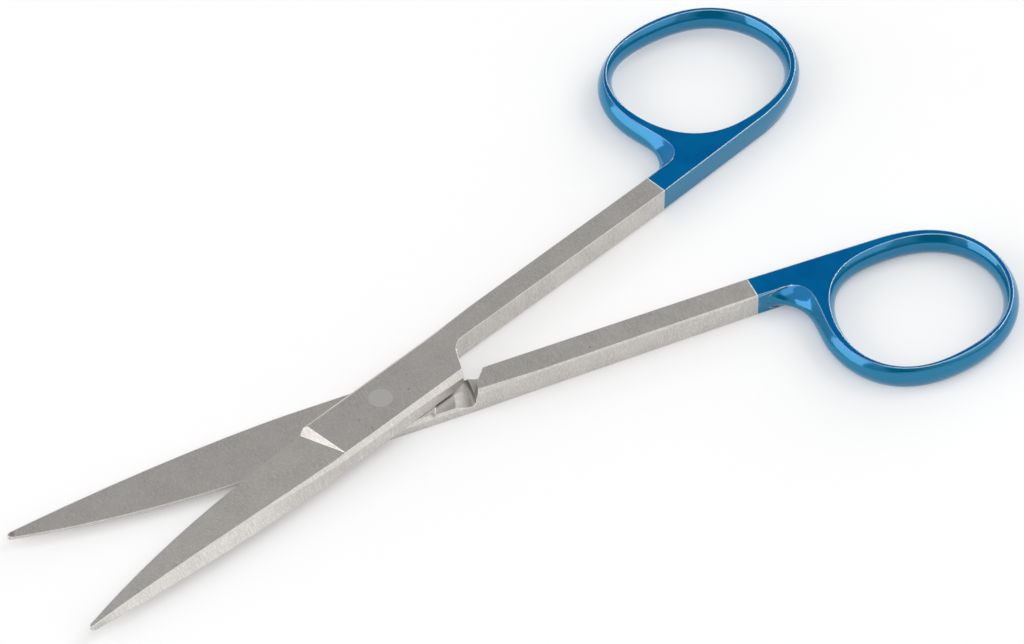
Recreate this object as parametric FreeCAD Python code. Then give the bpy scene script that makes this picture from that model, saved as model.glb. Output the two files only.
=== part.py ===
"""Straight sharp/sharp operating scissors, 14 cm: two forged halves and one flush rivet.

Frame: millimetres, origin on the rivet axis at the underside, +Z up out of the flat faces.
The tips point to -X, the finger rings to +X, and the blades stand open as they lie on a table.
"""
import FreeCAD, Part
import math
import os

V = FreeCAD.Vector
UP = V(0, 0, 1)

# Overall
OPENING = 20.17           # angle between the two halves at rest, degrees
THICK = 3.71              # full thickness of a shank and of a ring
HEIGHT = 4.07             # over both halves at the joint
SEAM = 1.75               # height of the plane on which the two lap faces slide
LAP_GAP = 0.02            # each lap face stands this far off that plane

# Shank, measured sideways from the axis of its half
INNER = 0.30
SHANK_OUTER = 3.70
EDGE = 0.20               # chamfer along both outer edges
SHOULDER_EDGE = 0.55      # the same chamfer where it starts at the shoulder
COAT_START = 53.3         # distance from the rivet to the edge of the blue coat

# Lap joint
PAD_R = 7.2               # the halves bear on a round pad about the rivet
RELIEF = 0.12             # step down from the pad
GROOVE_R = 9.9            # the floor hollows out from here to the shoulder
GROOVE = 0.50
SHOULDER_R = 12.6
SHOULDER_TOP_R = 13.0
NOTCH_X = 13.75           # where the notch wall would meet the inner edge of the shank
NOTCH_ANGLE = 58.8
NOTCH_R = 2.9
LAP_BEVEL = 0.45          # bevel on the sliding face along the outer side

# Spine wall
LEAN = 0.90               # it leans in by this much from foot to head, along the lap
FACET = 0.60              # its upper facet, along the lap

# Blade
ROOT = -12.0              # the curved outlines start here
TIP = -53.2
RAMP = -10.0              # the grind starts here
TIP_R = 0.36

# Finger ring
HOLE_X, HOLE_Y = 72.67, 12.90
HOLE_CROWN = 0.80         # the hole is this much narrower at mid height than at its rims
CROTCH_X = 60.1           # where the bar's outer side meets the crotch at the rims
CROTCH_R = 2.5            # radius of the crotch at the rims
CROTCH_FILL = 2.7         # mid height has the larger radius by this much
CROTCH_CROWN = 1.3        # and stands out from the rims by this much
RING_POINTS = 24          # steps in each oval
COAT = 0.10

# Rivet
RIVET_R = 1.30
HEAD_R = 1.62
HEAD_DEEP = 0.60
RUNNING = 0.03            # radial clearance in the lower half


class Half:
    """Sizes in which the two forgings differ. Heights count from the sliding face outwards."""

    def __init__(self, plate, edge, fall, shift, notch_shift, outer_edge):
        self.top = plate                   # outer face
        self.base = plate - THICK          # inner-side face of the full-thickness shank
        self.edge = edge                   # blade thickness at the cutting edge
        self.fall = fall                   # taper of the blade per millimetre of length
        self.sweep = 3 * shift             # sideways set of the tip
        self.notch_x = NOTCH_X + notch_shift
        self.outer_edge = outer_edge       # chamfer along the outer side of the lap
        self.spine = shift - 4.45
        self.outer = shift + 3.88


UPPER = Half(plate=HEIGHT - SEAM - LAP_GAP, edge=0.70, fall=0.026, shift=-0.20, notch_shift=0.0,
             outer_edge=0.55)
LOWER = Half(plate=SEAM - LAP_GAP, edge=0.85, fall=0.017, shift=0.20, notch_shift=-1.0,
             outer_edge=0.10)


# Plain shapes

def line(a, b):
    return Part.LineSegment(V(*a), V(*b)).toShape()


def polygon(points):
    return [line(a, b) for a, b in zip(points, points[1:] + points[:1])]


def flat(points):
    """Corners in plan, at height zero."""
    return [(x, y, 0) for x, y in points]


def prism(edges, low, high):
    """Solid over a closed chain of edges drawn at height zero."""
    face = Part.Face(Part.Wire(Part.__sortEdges__(edges)))
    face.translate(V(0, 0, low))
    return face.extrude(V(0, 0, high - low))


def along_x(stations):
    """Straight-sided solid through cross-sections given as (x, [(y, z), ...])."""
    wires = [Part.Wire(polygon([(x, y, z) for y, z in outline])) for x, outline in stations]
    return Part.makeLoft(wires, True, True)


def far_side(point, normal):
    """Large block on the side of a plane to which its normal points."""
    block = Part.makeBox(200, 200, 200, V(-100, -100, 0))
    block.Placement = FreeCAD.Placement(point, FreeCAD.Rotation(UP, normal))
    return block


# Blade

def along(x):
    """0 at the blade root, 1 at the tip."""
    return max(0.0, (ROOT - x) / (ROOT - TIP))


def spine_foot(half, x):
    return half.spine + 3.5 * along(x) ** 1.7 + half.sweep * along(x)


def cutting_line(half, x):
    return half.outer - 4.05 * along(x) ** 2.4 + half.sweep * along(x)


def facet(x):
    """Upper facet of the spine wall, wide at the joint and narrow at the tip."""
    return 0.10 + (FACET - 0.10) * math.exp(min(0, x - RAMP) / 14) + 0.025 * max(0, x - 2)


def spine_head(half, x):
    """Upper edge of the spine wall, which leans in most halfway along the blade."""
    lean = LEAN + 2.75 * along(x) * (1 - along(x)) - 0.6 * along(x) ** 4
    return spine_foot(half, x) + lean


def grind_slope(half):
    return (half.top - half.edge) / (half.outer - half.spine - LEAN)


def grind_height(half, x, y):
    """The outer face of the blade is one ground plane, falling to the cutting edge and to the tip."""
    return half.top - grind_slope(half) * (y - half.spine - LEAN) + half.fall * (x - RAMP)


def spine_wall(half, x):
    """Foot, knee and head of the wall in the cross-section at x."""
    head = spine_head(half, x)
    height = min(half.top, grind_height(half, x, head))
    return [(spine_foot(half, x), 0), (head - facet(x), height - facet(x)), (head, height)]


def blade(half):
    """Ground blade from the root to the tip, with a steep bevel behind the cutting edge."""
    steps = 16
    wires = []
    for i in range(steps + 1):
        x = ROOT + (TIP - ROOT) * i / steps
        edge = cutting_line(half, x)
        bevel = edge - 0.18 * grind_height(half, x, edge)
        outline = spine_wall(half, x) + [(bevel, grind_height(half, x, bevel)), (edge, 0)]
        wires.append(Part.Wire(polygon([(x, y, z) for y, z in outline])))
    solid = Part.makeLoft(wires, True, False)
    middle = (spine_foot(half, TIP) + cutting_line(half, TIP)) / 2
    point = Part.makeCylinder(TIP_R, 8, V(TIP + TIP_R, middle, -4))
    beyond = Part.makeBox(9, 8, 8, V(TIP + TIP_R - 9, middle - 4, -4)).cut(point)
    return solid.cut(beyond)


# Joint and shank

def notch_wall(half):
    """Inner edge of the shank, running into the concave notch and out to the spine side."""
    angle = math.radians(NOTCH_ANGLE)
    reach = NOTCH_R * math.tan(angle / 2)
    start = (half.notch_x + reach, INNER)
    end = (half.notch_x - reach * math.cos(angle), INNER - reach * math.sin(angle))
    centre = V(start[0], INNER - NOTCH_R, 0)
    middle = centre + V(-math.sin(angle / 2), math.cos(angle / 2), 0) * NOTCH_R
    drop = end[1] - half.spine
    corner = (end[0] - drop / math.tan(angle), half.spine)
    arc = Part.Arc(V(*start, 0), middle, V(*end, 0)).toShape()
    return start, corner, [arc, line((*end, 0), (*corner, 0))]


def blank(half):
    """Plan of the lap and the shank at full thickness."""
    start, corner, notch = notch_wall(half)
    outline = flat([start, (COAT_START, INNER), (COAT_START, SHANK_OUTER), (12, half.outer)])
    outline += flat([(ROOT, half.outer), (ROOT, half.spine), corner])
    edges = [line(a, b) for a, b in zip(outline, outline[1:])]
    return prism(edges + notch, half.base, half.top)


def outer_chamfer(stations, side):
    """Wedge along an outer edge, from (x, wall, size, height); side is +1 for the outer face."""
    outlines = []
    for x, wall, size, height in stations:
        below = height - side * size
        above = height + side
        corners = [(wall - size, height), (wall, below), (wall + 1, below), (wall + 1, above)]
        outlines.append((x, corners + [(wall - size, above)]))
    return along_x(outlines)


def long_edges(half):
    """Chamfers along the outer side of the lap and of the shank."""
    wall = half.outer
    taper = (SHANK_OUTER - wall) / (COAT_START - 12)
    lap_top = [(ROOT - 1, wall, half.outer_edge, half.top), (12, wall, half.outer_edge, half.top)]
    shank_top = [(12, wall, half.outer_edge, half.top), (20, wall + 8 * taper, EDGE, half.top)]
    shank_top.append((COAT_START, SHANK_OUTER, EDGE, half.top))
    shank_base = [(12, wall, SHOULDER_EDGE, half.base), (21, wall + 9 * taper, EDGE, half.base)]
    shank_base.append((COAT_START, SHANK_OUTER, EDGE, half.base))
    return [outer_chamfer(lap_top, 1), outer_chamfer(shank_top, 1), outer_chamfer(shank_base, -1)]


def spine_side(half):
    """Everything outside the leaning two-facet wall along the spine side of the lap."""
    outlines = []
    for x in (18, 12, 6, 0, -6, ROOT - 1):
        foot, knee, head = spine_wall(half, max(x, ROOT))
        above = [(head[0] + 1, half.top + 1), (foot[0] - 3, half.top + 1)]
        outlines.append((x, [(foot[0] - 3, -4), (foot[0], -4), foot, knee, head] + above))
    return along_x(outlines)


def lap_recess(half):
    """Turned recess on the sliding side: bearing pad, relief, groove and shoulder wall."""
    floor = [V(0, 0, 0), V(PAD_R, 0, 0), V(PAD_R, 0, RELIEF), V(GROOVE_R, 0, RELIEF)]
    low = V(SHOULDER_R - 0.55, 0, GROOVE)
    wall = V(SHOULDER_R, 0, -0.35)
    rim = V(SHOULDER_TOP_R, 0, half.base)
    bowl = Part.Arc(floor[3], V(GROOVE_R + 1.1, 0, (RELIEF + 1.5 * GROOVE) / 2.5), low).toShape()
    corner = Part.Arc(low, V(SHOULDER_R - 0.12, 0, GROOVE - 0.22), wall).toShape()
    edges = [Part.makeLine(a, b) for a, b in zip(floor, floor[1:])] + [bowl, corner]
    below = half.base - 1
    path = [wall, rim, V(SHOULDER_TOP_R + 0.2, 0, below), V(0, 0, below), V(0, 0, 0)]
    edges += [Part.makeLine(a, b) for a, b in zip(path, path[1:])]
    profile = Part.Face(Part.Wire(Part.__sortEdges__(edges)))
    profile.rotate(V(0, 0, 0), UP, -80)
    turned = profile.revolve(V(0, 0, 0), UP, 160)
    behind = Part.makeBox(40, 30, 10, V(-36, -15, -10))
    return [turned, behind, shoulder_run(half)]


def shoulder_run(half):
    """The shoulder leaves the turned arc and runs out obliquely to the inner edge of the shank."""
    wires = []
    for z, back in ((0.0, 0.45), (half.base - 1, -0.15)):
        plan = [(9, -2.4), (17 - back, -2.4), (12.9 - back, 2.35), (12.4 - back, 3.2), (9, 3.2)]
        wires.append(Part.Wire(polygon([(x, y, z) for x, y in plan])))
    return Part.makeLoft(wires, True, True)


def sliding_bevel(half):
    """Bevel on the sliding face, from the shoulder along the outer side to the blade root."""
    outlines = []
    end = math.sqrt(SHOULDER_R ** 2 - half.outer ** 2)
    for x, size in ((end, LAP_BEVEL), (1, LAP_BEVEL), (ROOT + 2, 0.02)):
        wall = half.outer
        bevel = [(wall - size, 0), (wall, size)]
        outlines.append((x, bevel + [(wall + 1, size), (wall + 1, -1), (wall - size, -1)]))
    return along_x(outlines)


def grind_start(half):
    """Stock ground off the outer face beyond the ramp at the blade root."""
    head = spine_head(half, RAMP)
    deep = half.top - half.edge
    a = V(RAMP, head, grind_height(half, RAMP, head))
    b = V(RAMP, half.outer, grind_height(half, RAMP, half.outer))
    c = V(RAMP - 10, head, grind_height(half, RAMP - 10, head))
    ground = far_side(a, (a - c).cross(b - a).normalize())
    foot = V(RAMP - 0.20 - 0.62 * deep, half.outer, b.z)
    ramp = far_side(a, (V(RAMP - 0.45, half.outer, half.top) - a).cross(foot - a).normalize())
    return ground.common(ramp)


# Finger ring

def hole_radius(angle):
    """Rims of the hole: an oval with slightly flattened sides."""
    radius = 11.88 + 0.68 * math.cos(2 * angle) - 0.44 * math.sin(2 * angle)
    return radius + 0.21 * math.cos(3 * angle) - 0.21 * math.cos(4 * angle)


def bar_radius(angle):
    """Outer side of the bar at mid height."""
    radius = 13.26 - 0.14 * math.cos(angle) - 0.12 * math.sin(angle)
    radius += 0.93 * math.cos(2 * angle) - 0.31 * math.sin(2 * angle)
    radius += 0.10 * math.cos(3 * angle) - 0.05 * math.sin(3 * angle)
    return radius - 0.13 * math.cos(4 * angle) - 0.05 * math.sin(4 * angle)


def bar_crown(angle):
    """How far the outer side falls back from mid height to its rims, least beside the shank."""
    fall = 0.65 + 0.22 * math.sin(angle) + 0.27 * math.cos(2 * angle)
    return fall - 0.085 * math.cos(3 * angle) - 0.04 * math.sin(3 * angle)


def polar(radius, angle):
    return V(HOLE_X + radius * math.cos(angle), HOLE_Y + radius * math.sin(angle), 0)


def solve(function, low, high):
    """Root of an increasing function by halving."""
    for _ in range(50):
        middle = (low + high) / 2
        if function(middle) > 0:
            high = middle
        else:
            low = middle
    return (low + high) / 2


def hole_level(share, skin):
    """Outline of the hole at a height that counts from -1 to 1 between the rims."""
    points = []
    for i in range(RING_POINTS):
        angle = 2 * math.pi * i / RING_POINTS
        points.append(polar(hole_radius(angle) - skin - HOLE_CROWN * (1 - share ** 2), angle))
    oval = Part.BSplineCurve()
    oval.interpolate(Points=points, PeriodicFlag=True)
    return Part.Wire([oval.toShape()])


def outer_level(share, skin):
    """Outline of the ring and the end of its shank at such a height. The straight inner edge runs
    tangent into the bar, and the crotch is tightest at the rims and fuller at mid height."""
    inner = V(COAT_START, INNER - skin, 0)

    def rim(angle):
        return polar(bar_radius(angle) + skin - bar_crown(angle) * share ** 2, angle)

    def heading(angle):
        return (rim(angle + 0.001) - rim(angle - 0.001)).normalize()

    def off_tangent(angle):
        direction = heading(angle)
        sight = rim(angle) - inner
        return direction.y * sight.x - direction.x * sight.y

    start = solve(off_tangent, math.radians(-130), math.radians(-60))
    points = [rim(start + (math.pi - start) * i / RING_POINTS) for i in range(RING_POINTS + 1)]
    radius = CROTCH_R + CROTCH_FILL * (1 - share ** 2)
    side = CROTCH_X - CROTCH_CROWN * (1 - share ** 2)
    for i in range(7):
        turn = -math.pi / 12 * i
        out = (radius - skin) * math.cos(turn), (radius - skin) * math.sin(turn)
        points.append(V(side - radius + out[0], SHANK_OUTER + radius + out[1], 0))
    points.append(V(COAT_START, SHANK_OUTER + skin, 0))
    curve = Part.BSplineCurve()
    curve.interpolate(Points=points, InitialTangent=heading(start), FinalTangent=V(-1, 0, 0))
    end = Part.makeLine(points[-1], inner)
    return Part.Wire([curve.toShape(), end, Part.makeLine(inner, points[0])])


def barrel(half, skin, level, reach):
    """Body whose sides bulge at mid height, from outlines at five heights."""
    middle = (half.top + half.base) / 2
    tall = (half.top - half.base) / 2 + skin
    outlines = []
    for share in (-reach, -0.6, 0, 0.6, reach):
        outline = level(share, skin)
        outline.translate(V(0, 0, middle + tall * share))
        outlines.append(outline)
    return Part.makeLoft(outlines, True, False)


def ring(half, skin):
    """Finger ring and the coated end of the shank, whose chamfers run out at the crotch."""
    body = barrel(half, skin, outer_level, 1).cut(barrel(half, skin, hole_level, 1.1))
    wall = SHANK_OUTER + skin
    for side, height in ((1, half.top + skin), (-1, half.base - skin)):
        sizes = [(COAT_START - 1, wall, EDGE + 0.04, height), (COAT_START + 5, wall, 0.05, height)]
        body = body.cut(outer_chamfer(sizes, side))
    return body.Solids[0]


# Assembly

def forging(half):
    body = blank(half).cut([spine_side(half), grind_start(half)] + long_edges(half))
    body = body.cut(lap_recess(half)).cut(sliding_bevel(half))
    return body.fuse(blade(half)).removeSplitter().fuse(ring(half, -COAT)).Solids[0]


def coat(half):
    """Thin blue lacquer over the ring and the end of the shank, flush with the bare steel."""
    return ring(half, 0).cut(ring(half, -COAT)).Solids[0]


def rivet(grow):
    """Flush rivet with a slightly flared end in each outer face."""
    radii = [(0, HEAD_R), (HEAD_DEEP, RIVET_R), (HEIGHT - HEAD_DEEP, RIVET_R), (HEIGHT, HEAD_R)]
    outline = [(0, 0, 0)] + [(r + grow, 0, z) for z, r in radii] + [(0, 0, HEIGHT)]
    return Part.Face(Part.Wire(polygon(outline))).revolve(V(0, 0, 0), UP, 360)


def place_upper(shape):
    shape.translate(V(0, 0, SEAM + LAP_GAP))
    shape.rotate(V(0, 0, 0), UP, OPENING / 2)
    return shape


def place_lower(shape):
    """The lower half is turned over about its own length."""
    shape.rotate(V(0, 0, 0), V(1, 0, 0), 180)
    shape.translate(V(0, 0, SEAM - LAP_GAP))
    shape.rotate(V(0, 0, 0), UP, -OPENING / 2)
    return shape


def main():
    os.makedirs("parts", exist_ok=True)
    pin = rivet(0)
    upper = place_upper(forging(UPPER)).cut(rivet(0))
    lower = place_lower(forging(LOWER)).cut(rivet(RUNNING))
    upper.exportStep("parts/upper_half.step")
    lower.exportStep("parts/lower_half.step")
    place_upper(coat(UPPER)).exportStep("parts/upper_ring_coat.step")
    place_lower(coat(LOWER)).exportStep("parts/lower_ring_coat.step")
    pin.exportStep("parts/joint_rivet.step")


main()
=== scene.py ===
import bpy
import math
from mathutils import Matrix, Vector

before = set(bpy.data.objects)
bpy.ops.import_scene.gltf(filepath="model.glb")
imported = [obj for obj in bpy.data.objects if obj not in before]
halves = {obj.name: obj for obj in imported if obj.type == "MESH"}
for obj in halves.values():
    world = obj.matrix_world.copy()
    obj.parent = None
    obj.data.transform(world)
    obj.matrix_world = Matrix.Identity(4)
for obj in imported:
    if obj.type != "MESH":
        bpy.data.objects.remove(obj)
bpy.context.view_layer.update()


# Two forged halves
# Each half is one stainless steel forging: blade, lap, shank and ring core in a single piece.
# The flats are ground across the length, so a fine grain runs from edge to edge, and the last
# polish leaves the corners slightly rounded; a painted highlight makes the corners brighter than the
# flats.

LEAN = math.radians(10.085)          # each half lies this far off the middle line
GRAIN_PITCH = 0.00012                # spacing of the grinding lines along a half
GRAIN_LENGTH = 0.0008                # length of one line, across the half
MOTTLE = 0.00016                     # size of the grit marks that cross the lines
CLOUDS = 0.004                       # size of the soft patches in the polish
GRIND_DEPTH = 0.00002
STEEL = (0.78, 0.755, 0.72, 1)
STEEL_DULL = (0.51, 0.49, 0.465, 1)
# painted highlight colour for the rounded corners
STEEL_HIGHLIGHT = (0.90, 0.88, 0.85, 1)
STAIN = (0.24, 0.17, 0.11, 1)
EDGE_RADIUS = 0.00013                # rounding left on the corners by the last polish
GROUND_LEVEL = 0.0046                # no corner is rounded this close to the origin
UPPER_FACE, LOWER_FACE, LAP_FACE = 0.00407, 0.00371, 0.00173
UPPER_STAINS = (
    (0.00389, -0.00077, UPPER_FACE, 0.00022),
    (-0.00454, -0.00165, UPPER_FACE, 0.00016),
    (-0.00391, -0.00379, UPPER_FACE, 0.00020),
    (0.03286, 0.00579, UPPER_FACE, 0.00015),
)
LOWER_STAINS = (
    (0.02812, -0.00786, LOWER_FACE, 0.00020),
    (-0.05179, 0.00904, LAP_FACE, 0.00045),
    (0.00525, -0.00474, LAP_FACE, 0.00040),
    (0.00495, -0.00520, LAP_FACE, 0.00030),
)


def add(tree, kind, **settings):
    """A shader node. Settings that name a socket set its value, and the rest set properties."""
    node = tree.nodes.new("ShaderNode" + kind)
    for name, value in settings.items():
        socket = name.replace("_", " ").title()
        if socket in node.inputs:
            node.inputs[socket].default_value = value
        else:
            setattr(node, name, value)
    return node


def empty_material(name):
    material = bpy.data.materials.new(name)
    material.use_nodes = True
    tree = material.node_tree
    tree.nodes.clear()
    output = tree.nodes.new("ShaderNodeOutputMaterial")
    shader = tree.nodes.new("ShaderNodeBsdfPrincipled")
    tree.links.new(shader.outputs[0], output.inputs[0])
    return material, tree, shader


def place_texture(tree, turn, size):
    """Object coordinates turned about the rivet, so that X runs along a half, divided by a size."""
    where = add(tree, "TexCoord")
    turned = add(tree, "Mapping", vector_type="TEXTURE")
    turned.inputs["Rotation"].default_value = (0, 0, turn)
    turned.inputs["Scale"].default_value = size
    tree.links.new(where.outputs["Object"], turned.inputs["Vector"])
    return turned.outputs["Vector"]


def noise(tree, vector, detail, rough=0.5):
    grain = add(tree, "TexNoise")
    grain.inputs["Scale"].default_value = 1
    grain.inputs["Detail"].default_value = detail
    grain.inputs["Roughness"].default_value = rough
    tree.links.new(vector, grain.inputs["Vector"])
    return grain.outputs["Fac"]


def ramp(tree, value, low, high, start, end):
    """A value from low to high brought linearly to the range from start to end."""
    scaled = add(tree, "MapRange")
    for name, number in (("From Min", low), ("From Max", high), ("To Min", start), ("To Max", end)):
        scaled.inputs[name].default_value = number
    tree.links.new(value, scaled.inputs["Value"])
    return scaled.outputs[0]


def mix_colours(tree, amount, first, second):
    """First and second are colours or sockets."""
    mixed = add(tree, "Mix", data_type="RGBA")
    for place, value in ((0, amount), (6, first), (7, second)):
        socket = mixed.inputs[place]
        if isinstance(value, bpy.types.NodeSocket):
            tree.links.new(value, socket)
        else:
            socket.default_value = value
    return mixed.outputs[2]


def rounded_edges_and_highlight(tree, radius):
    """The normal rounded over sharp corners, and a mask that is 1 on those corners and places a
    painted highlight there, but not round the rivet, where the faces were ground level together."""
    where = add(tree, "TexCoord")
    from_middle = add(tree, "VectorMath", operation="LENGTH")
    tree.links.new(where.outputs["Object"], from_middle.inputs[0])
    rounded = add(tree, "Bevel", samples=6)
    beyond = GROUND_LEVEL + 0.0002
    round_here = ramp(tree, from_middle.outputs["Value"], GROUND_LEVEL, beyond, 0, radius)
    tree.links.new(round_here, rounded.inputs["Radius"])
    flat = add(tree, "NewGeometry")
    apart = add(tree, "VectorMath", operation="DOT_PRODUCT")
    tree.links.new(rounded.outputs[0], apart.inputs[0])
    tree.links.new(flat.outputs["Normal"], apart.inputs[1])
    highlight_mask = ramp(tree, apart.outputs["Value"], 0.995, 0.90, 0, 1)
    return rounded.outputs[0], highlight_mask


def stain(tree, x, y, z, size):
    """A mask that is 1 at a place and falls to 0 at a ragged outline of the given radius."""
    where = add(tree, "TexCoord")
    ragged = noise(tree, place_texture(tree, 0, (0.0001, 0.0001, 0.0001)), 1)
    far = add(tree, "VectorMath", operation="DISTANCE")
    far.inputs[1].default_value = (x, y, z)
    tree.links.new(where.outputs["Object"], far.inputs[0])
    reach = add(tree, "Math", operation="MULTIPLY")
    tree.links.new(far.outputs["Value"], reach.inputs[0])
    tree.links.new(ramp(tree, ragged, 0.3, 0.7, 0.6, 1.4), reach.inputs[1])
    return ramp(tree, reach.outputs[0], size, size * 0.4, 0, 0.6)


def ground_steel(name, turn, stains):
    material, tree, shader = empty_material(name)
    lines = noise(tree, place_texture(tree, turn, (GRAIN_PITCH, GRAIN_LENGTH, GRAIN_LENGTH)), 2)
    grit = noise(tree, place_texture(tree, turn, (MOTTLE, MOTTLE, MOTTLE)), 2)
    clouds = noise(tree, place_texture(tree, turn, (CLOUDS, CLOUDS, CLOUDS)), 2)
    rounded, corner_highlight = rounded_edges_and_highlight(tree, EDGE_RADIUS)
    grain = mix_colours(tree, ramp(tree, lines, 0.3, 0.7, 0, 1), STEEL_DULL, STEEL)
    mottled = mix_colours(tree, ramp(tree, grit, 0.38, 0.62, 0, 0.8), grain, STEEL_DULL)
    cloudy = mix_colours(tree, ramp(tree, clouds, 0.35, 0.75, 0, 0.3), mottled, STEEL)
    # painted highlight: the rounded corners are coloured brighter than the flats
    colour = mix_colours(tree, ramp(tree, corner_highlight, 0, 1, 0, 0.9), cloudy, STEEL_HIGHLIGHT)
    for x, y, z, size in stains:
        colour = mix_colours(tree, stain(tree, x, y, z, size), colour, STAIN)
    tree.links.new(colour, shader.inputs["Base Color"])
    tree.links.new(ramp(tree, grit, 0.3, 0.7, 0.41, 0.47), shader.inputs["Roughness"])
    relief = add(tree, "Bump")
    relief.inputs["Strength"].default_value = 0.12
    relief.inputs["Distance"].default_value = GRIND_DEPTH
    tree.links.new(lines, relief.inputs["Height"])
    tree.links.new(rounded, relief.inputs["Normal"])
    tree.links.new(relief.outputs[0], shader.inputs["Normal"])
    shader.inputs["Metallic"].default_value = 1
    return material


halves["upper_half"].data.materials.clear()
halves["upper_half"].data.materials.append(ground_steel("ground_steel_upper", LEAN, UPPER_STAINS))
halves["lower_half"].data.materials.clear()
halves["lower_half"].data.materials.append(ground_steel("ground_steel_lower", -LEAN, LOWER_STAINS))


# Joint rivet
# A softer steel pin, set flush and ground level with both flats. Its end shows as a disc that is
# a little paler than the steel round it, with faint turning marks about its centre.

RIVET_PALE = (0.80, 0.785, 0.76, 1)
RIVET_DULL = (0.70, 0.685, 0.66, 1)
SPECKLE = 0.00012


def rivet_steel():
    material, tree, shader = empty_material("rivet_steel")
    speckle = noise(tree, place_texture(tree, 0, (SPECKLE, SPECKLE, SPECKLE)), 2)
    where = add(tree, "TexCoord")
    rings = add(tree, "TexWave", wave_type="RINGS", rings_direction="Z")
    rings.inputs["Scale"].default_value = 900
    rings.inputs["Distortion"].default_value = 1.5
    tree.links.new(where.outputs["Object"], rings.inputs["Vector"])
    marks = mix_colours(tree, ramp(tree, rings.outputs["Fac"], 0, 1, 0, 0.35), RIVET_PALE, RIVET_DULL)
    mottled = mix_colours(tree, ramp(tree, speckle, 0.35, 0.7, 0, 0.5), marks, RIVET_DULL)
    tree.links.new(mottled, shader.inputs["Base Color"])
    shader.inputs["Metallic"].default_value = 1
    shader.inputs["Roughness"].default_value = 0.42
    return material


halves["joint_rivet"].data.materials.clear()
halves["joint_rivet"].data.materials.append(rivet_steel())


# Blue finger rings
# Translucent blue lacquer, dipped over the bright ring and the end of the shank. It is glossy. The
# upright walls carry painted shade, a darker and greener blue than the flats, and the corners carry a
# near-white painted highlight.

BLUE_DEEP = (0.0, 0.165, 0.47, 1)
BLUE = (0.0, 0.22, 0.56, 1)
# painted shade colour for the upright walls of the lacquer
BLUE_SIDE_SHADE = (0.0, 0.185, 0.36, 1)
# painted highlight colour for the corners of the lacquer
BLUE_RIM_HIGHLIGHT = (0.90, 1.0, 1.0, 1)
FILM_CLOUDS = 0.005                  # size of the slow changes in the film's depth
FLAKE = 0.00012
FILM_RADIUS = 0.00018                # rounding of the film over a corner
FILM_RELIEF = 0.00003


def blue_lacquer():
    material, tree, shader = empty_material("blue_lacquer")
    clouds = noise(tree, place_texture(tree, 0, (FILM_CLOUDS, FILM_CLOUDS, FILM_CLOUDS)), 2)
    flake = noise(tree, place_texture(tree, 0, (FLAKE, FLAKE, FLAKE)), 2)
    rounded, corner_highlight = rounded_edges_and_highlight(tree, FILM_RADIUS)
    film = mix_colours(tree, ramp(tree, clouds, 0.35, 0.7, 0, 1), BLUE_DEEP, BLUE)
    # painted shade: faces that stand upright take a darker, greener blue than the flats
    facing = add(tree, "SeparateXYZ")
    tree.links.new(add(tree, "TexCoord").outputs["Normal"], facing.inputs[0])
    level = add(tree, "Math", operation="ABSOLUTE")
    tree.links.new(facing.outputs["Z"], level.inputs[0])
    side_shaded = mix_colours(tree, ramp(tree, level.outputs[0], 0.5, 1, 0, 1), BLUE_SIDE_SHADE, film)
    # painted highlight: the corners of the lacquer turn near white
    rim_highlighted = mix_colours(tree, ramp(tree, corner_highlight, 0.1, 0.8, 0, 1), side_shaded, BLUE_RIM_HIGHLIGHT)
    tree.links.new(rim_highlighted, shader.inputs["Base Color"])
    tree.links.new(ramp(tree, flake, 0.3, 0.7, 0.12, 0.17), shader.inputs["Roughness"])
    relief = add(tree, "Bump")
    relief.inputs["Strength"].default_value = 0.05
    relief.inputs["Distance"].default_value = FILM_RELIEF
    tree.links.new(flake, relief.inputs["Height"])
    tree.links.new(rounded, relief.inputs["Normal"])
    tree.links.new(relief.outputs[0], shader.inputs["Normal"])
    shader.inputs["Metallic"].default_value = 0.45
    shader.inputs["Specular IOR Level"].default_value = 0
    shader.inputs["Coat Weight"].default_value = 0.85
    shader.inputs["Coat Roughness"].default_value = 0.06
    shader.inputs["Coat IOR"].default_value = 1.5
    return material


lacquer = blue_lacquer()
for coat in ("upper_ring_coat", "lower_ring_coat"):
    halves[coat].data.materials.clear()
    halves[coat].data.materials.append(lacquer)


# Camera
# A long lens looks down at 47.5 degrees, square to no side of the scissors.

camera = bpy.data.objects.new("camera", bpy.data.cameras.new("camera"))
camera.data.sensor_width = 36
camera.data.lens = 302.17
camera.data.clip_start = 0.05
camera.data.clip_end = 50
camera.location = (-0.41327, -0.63517, 0.84679)
CAMERA_TURN = math.radians(-34.3585)
camera.rotation_euler = (math.radians(42.46), 0, CAMERA_TURN)
bpy.context.scene.collection.objects.link(camera)
bpy.context.scene.camera = camera


# Table and light
# A white table in a grey room, lit by wide soft lamps at both sides, above, in front and behind.
# The walls are darker near the table, and two dark screens, one behind and one in front, keep the
# flats grey and the gloss of the lacquer deep.

FLOOR_HALF = 8
FLOOR_DROP = 0.00001                 # keeps the table just clear of the underside
FLOOR_WHITE = (0.97, 0.97, 0.97, 1)
GLOW = 0.20                          # share of plain white in what is seen of the table
ROOM = 0.62                          # brightness of the room above the low walls
LOW_WALLS = 0.42
SCREEN = 0.04                        # share of the room's brightness that a dark screen keeps


def white_table():
    material, tree, shader = empty_material("white_table")
    shader.inputs["Base Color"].default_value = FLOOR_WHITE
    shader.inputs["Roughness"].default_value = 1
    shader.inputs["Specular IOR Level"].default_value = 0
    rays = add(tree, "LightPath")
    seen = add(tree, "Math", operation="MAXIMUM")
    tree.links.new(rays.outputs["Is Camera Ray"], seen.inputs[0])
    tree.links.new(rays.outputs["Is Glossy Ray"], seen.inputs[1])
    white = add(tree, "Emission")
    white.inputs["Color"].default_value = (1, 1, 1, 1)
    both = add(tree, "MixShader")
    tree.links.new(ramp(tree, seen.outputs[0], 0, 1, 0, GLOW), both.inputs[0])
    tree.links.new(shader.outputs[0], both.inputs[1])
    tree.links.new(white.outputs[0], both.inputs[2])
    output = [node for node in tree.nodes if node.type == "OUTPUT_MATERIAL"][0]
    tree.links.new(both.outputs[0], output.inputs[0])
    return material


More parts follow.
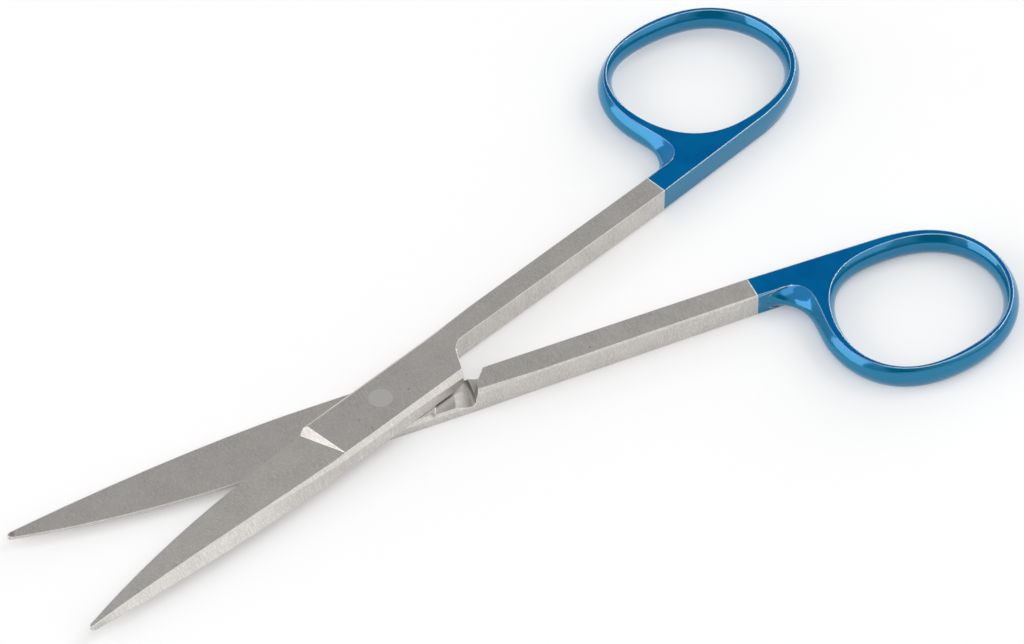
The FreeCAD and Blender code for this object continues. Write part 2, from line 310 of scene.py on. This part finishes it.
def table_top():
    mesh = bpy.data.meshes.new("table_top")
    square = ((-1, -1), (1, -1), (1, 1), (-1, 1))
    corners = [(x * FLOOR_HALF, y * FLOOR_HALF, -FLOOR_DROP) for x, y in square]
    mesh.from_pydata(corners, [], [(0, 1, 2, 3)])
    top = bpy.data.objects.new("table_top", mesh)
    bpy.context.scene.collection.objects.link(top)
    mesh.materials.append(white_table())
    return top


table_top()


def from_camera(right, away, up):
    """A direction given as the camera sees it."""
    return Matrix.Rotation(CAMERA_TURN, 4, "Z") @ Vector((right, away, up))


def lamp(name, right, away, up, width, height, radiance):
    """A soft lamp that faces the rivet."""
    light = bpy.data.lights.new(name, "AREA")
    light.shape = "RECTANGLE"
    light.size = width
    light.size_y = height
    light.energy = radiance * math.pi * width * height
    place = from_camera(right, away, up)
    holder = bpy.data.objects.new(name, light)
    holder.location = place
    holder.rotation_euler = (-place).to_track_quat("-Z", "Y").to_euler()
    bpy.context.scene.collection.objects.link(holder)


lamp("right_lamp", 1.7, -0.75, 1.0, 1.6, 1.6, 0.8)
lamp("left_lamp", -1.85, -0.55, 0.6, 1.9, 1.9, 2.1)
lamp("top_lamp", 1.9, 1.2, 2.0, 1.6, 1.6, 2.3)
lamp("front_lamp", 0.2, -1.2, 1.9, 1.3, 1.3, 1.2)
lamp("back_lamp", 1.35, 1.95, 0.65, 1.6, 0.9, 3.0)


def screen(tree, direction, inner, outer):
    """1 outside a round dark screen and 0 inside it, from its middle and two angular radii."""
    where = add(tree, "TexCoord")
    toward = add(tree, "VectorMath", operation="DOT_PRODUCT")
    toward.inputs[1].default_value = direction.normalized()
    tree.links.new(where.outputs["Generated"], toward.inputs[0])
    far, near = math.cos(math.radians(outer)), math.cos(math.radians(inner))
    return ramp(tree, toward.outputs["Value"], far, near, 1, 0)


world = bpy.data.worlds.new("room")
world.use_nodes = True
bpy.context.scene.world = world
tree = world.node_tree
tree.nodes.clear()
rays = add(tree, "LightPath")
clear = add(tree, "Math", operation="MULTIPLY")
tree.links.new(screen(tree, from_camera(0, 0.675, 0.737), 11, 16), clear.inputs[0])
tree.links.new(screen(tree, from_camera(0, -0.93, 0.3), 16, 26), clear.inputs[1])
height = add(tree, "SeparateXYZ")
tree.links.new(add(tree, "TexCoord").outputs["Generated"], height.inputs[0])
walls = add(tree, "Math", operation="MULTIPLY")
tree.links.new(ramp(tree, height.outputs["Z"], 0.15, 0.45, LOW_WALLS, ROOM), walls.inputs[0])
tree.links.new(ramp(tree, clear.outputs[0], 0, 1, SCREEN, 1), walls.inputs[1])
grey = add(tree, "Background")
grey.inputs["Color"].default_value = (1, 1, 1, 1)
tree.links.new(walls.outputs[0], grey.inputs["Strength"])
white = add(tree, "Background")
white.inputs["Color"].default_value = (1, 1, 1, 1)
white.inputs["Strength"].default_value = 1
either = add(tree, "MixShader")
output = tree.nodes.new("ShaderNodeOutputWorld")
tree.links.new(rays.outputs["Is Camera Ray"], either.inputs[0])
tree.links.new(grey.outputs[0], either.inputs[1])
tree.links.new(white.outputs[0], either.inputs[2])
tree.links.new(either.outputs[0], output.inputs[0])

bpy.context.scene.view_settings.view_transform = "Standard"
